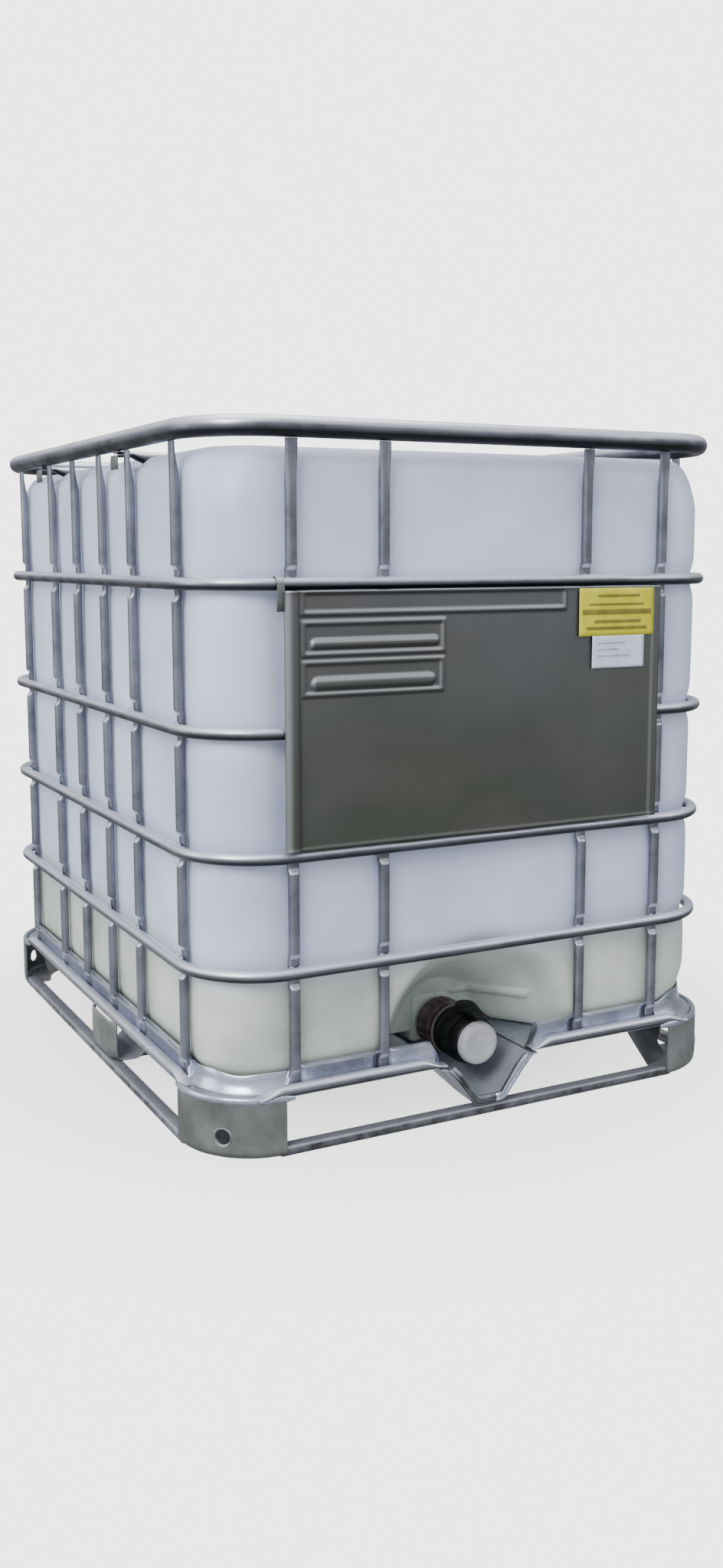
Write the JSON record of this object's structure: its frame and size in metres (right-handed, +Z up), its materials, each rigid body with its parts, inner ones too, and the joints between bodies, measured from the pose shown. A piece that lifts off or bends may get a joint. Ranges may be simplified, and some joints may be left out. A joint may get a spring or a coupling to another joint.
{
  "type": "intermediate bulk container",
  "caption": "Blow-moulded plastic bottle in a galvanised tube cage on a pressed steel base, with a screw lid on top and a lever valve with cap at the bottom front.",
  "frame": {"origin": "on the floor at the middle of the base's outline", "axes": "+Z up; -Y out of the front, where the valve is; +Y along the longer side of the base; +X to the right seen from the front"},
  "size_m": [1, 1.2, 1.12],
  "materials": {
    "galvanised_tube": "dull hot-dip galvanised tube",
    "galvanised_sheet": "bright galvanised sheet",
    "foot_sheet": "weathered galvanised sheet",
    "plate_sheet": "rolled steel sheet with a fine grain",
    "natural_plastic": "uncoloured blow-moulded polyethylene, satin",
    "cap_plastic": "off-white moulded plastic",
    "lid_plastic": "black moulded plastic",
    "nut_plastic": "dark red-brown moulded plastic",
    "black_plastic": "black moulded plastic",
    "seal_rubber": "matt black rubber",
    "stem_steel": "machined steel",
    "yellow_label": "yellow printed label, blank",
    "white_label": "white label, blank"
  },
  "bodies": {
    "container": {"cage_ring_1": "galvanised_tube", "cage_ring_2": "galvanised_tube", "cage_ring_3": "galvanised_tube", "cage_ring_4": "galvanised_tube", "top_rail": "galvanised_tube", "base_tube_left": "galvanised_tube", "base_tube_right": "galvanised_tube", "base_tube_rear": "galvanised_tube", "base_tube_front_left": "galvanised_tube", "base_tube_front_right": "galvanised_tube", "crossbar_front": "galvanised_tube", "crossbar_rear": "galvanised_tube", "cage_bar_front_1": "galvanised_tube", "cage_bar_front_2": "galvanised_tube", "cage_bar_front_3": "galvanised_tube", "cage_bar_front_4": "galvanised_tube", "cage_bar_rear_1": "galvanised_tube", "cage_bar_rear_2": "galvanised_tube", "cage_bar_rear_3": "galvanised_tube", "cage_bar_rear_4": "galvanised_tube", "cage_bar_left_1": "galvanised_tube", "cage_bar_left_2": "galvanised_tube", "cage_bar_left_3": "galvanised_tube", "cage_bar_left_4": "galvanised_tube", "cage_bar_left_5": "galvanised_tube", "cage_bar_left_6": "galvanised_tube", "cage_bar_right_1": "galvanised_tube", "cage_bar_right_2": "galvanised_tube", "cage_bar_right_3": "galvanised_tube", "cage_bar_right_4": "galvanised_tube", "cage_bar_right_5": "galvanised_tube", "cage_bar_right_6": "galvanised_tube", "base_tray": "galvanised_sheet", "valve_chute": "galvanised_sheet", "corner_foot_front_left": "foot_sheet", "corner_foot_front_right": "foot_sheet", "corner_foot_rear_left": "foot_sheet", "corner_foot_rear_right": "foot_sheet", "side_foot_left": "foot_sheet", "side_foot_right": "foot_sheet", "rear_foot": "foot_sheet", "runner_front": "foot_sheet", "runner_rear": "foot_sheet", "runner_left": "foot_sheet", "runner_right": "foot_sheet", "runner_middle": "foot_sheet", "label_plate": "plate_sheet", "bottle": "natural_plastic", "union_nut": "nut_plastic", "valve_body": "black_plastic", "yellow_label": "yellow_label", "white_label": "white_label"},
    "lid_gasket": {"lid_gasket": "seal_rubber"},
    "filling_lid": {"filling_lid": "lid_plastic"},
    "vent_plug_seal": {"vent_plug_seal": "seal_rubber"},
    "vent_plug": {"vent_plug": "cap_plastic"},
    "valve_handle": {"valve_handle": "black_plastic", "valve_disc": "stem_steel"},
    "outlet_cap_seal": {"outlet_cap_seal": "seal_rubber"},
    "outlet_cap": {"outlet_cap": "cap_plastic"}
  },
  "joints": [
    {"name": "lid_lift", "type": "slide", "parent": "container", "child": "lid_gasket", "axis": [0, 0, 1], "range_m": [0, 0.12]},
    {"name": "lid_turn", "type": "hinge", "parent": "lid_gasket", "child": "filling_lid", "pos_m": [0, 0, 1.088], "axis": [0, 0, 1], "range_deg": [0, 450]},
    {"name": "plug_lift", "type": "slide", "parent": "filling_lid", "child": "vent_plug_seal", "axis": [0, 0, 1], "range_m": [0, 0.06]},
    {"name": "plug_turn", "type": "hinge", "parent": "vent_plug_seal", "child": "vent_plug", "pos_m": [0, 0, 1.1012], "axis": [0, 0, 1], "range_deg": [0, 720]},
    {"name": "valve_lever", "type": "hinge", "parent": "container", "child": "valve_handle", "pos_m": [0, -0.514, 0.1523], "axis": [0, 0, 1], "range_deg": [0, 90]},
    {"name": "cap_pull", "type": "slide", "parent": "container", "child": "outlet_cap_seal", "axis": [0, -1, 0], "range_m": [0, 0.06]},
    {"name": "cap_turn", "type": "hinge", "parent": "outlet_cap_seal", "child": "outlet_cap", "pos_m": [0, -0.5285, 0.108], "axis": [0, -1, 0], "range_deg": [0, 540]}
  ]
}
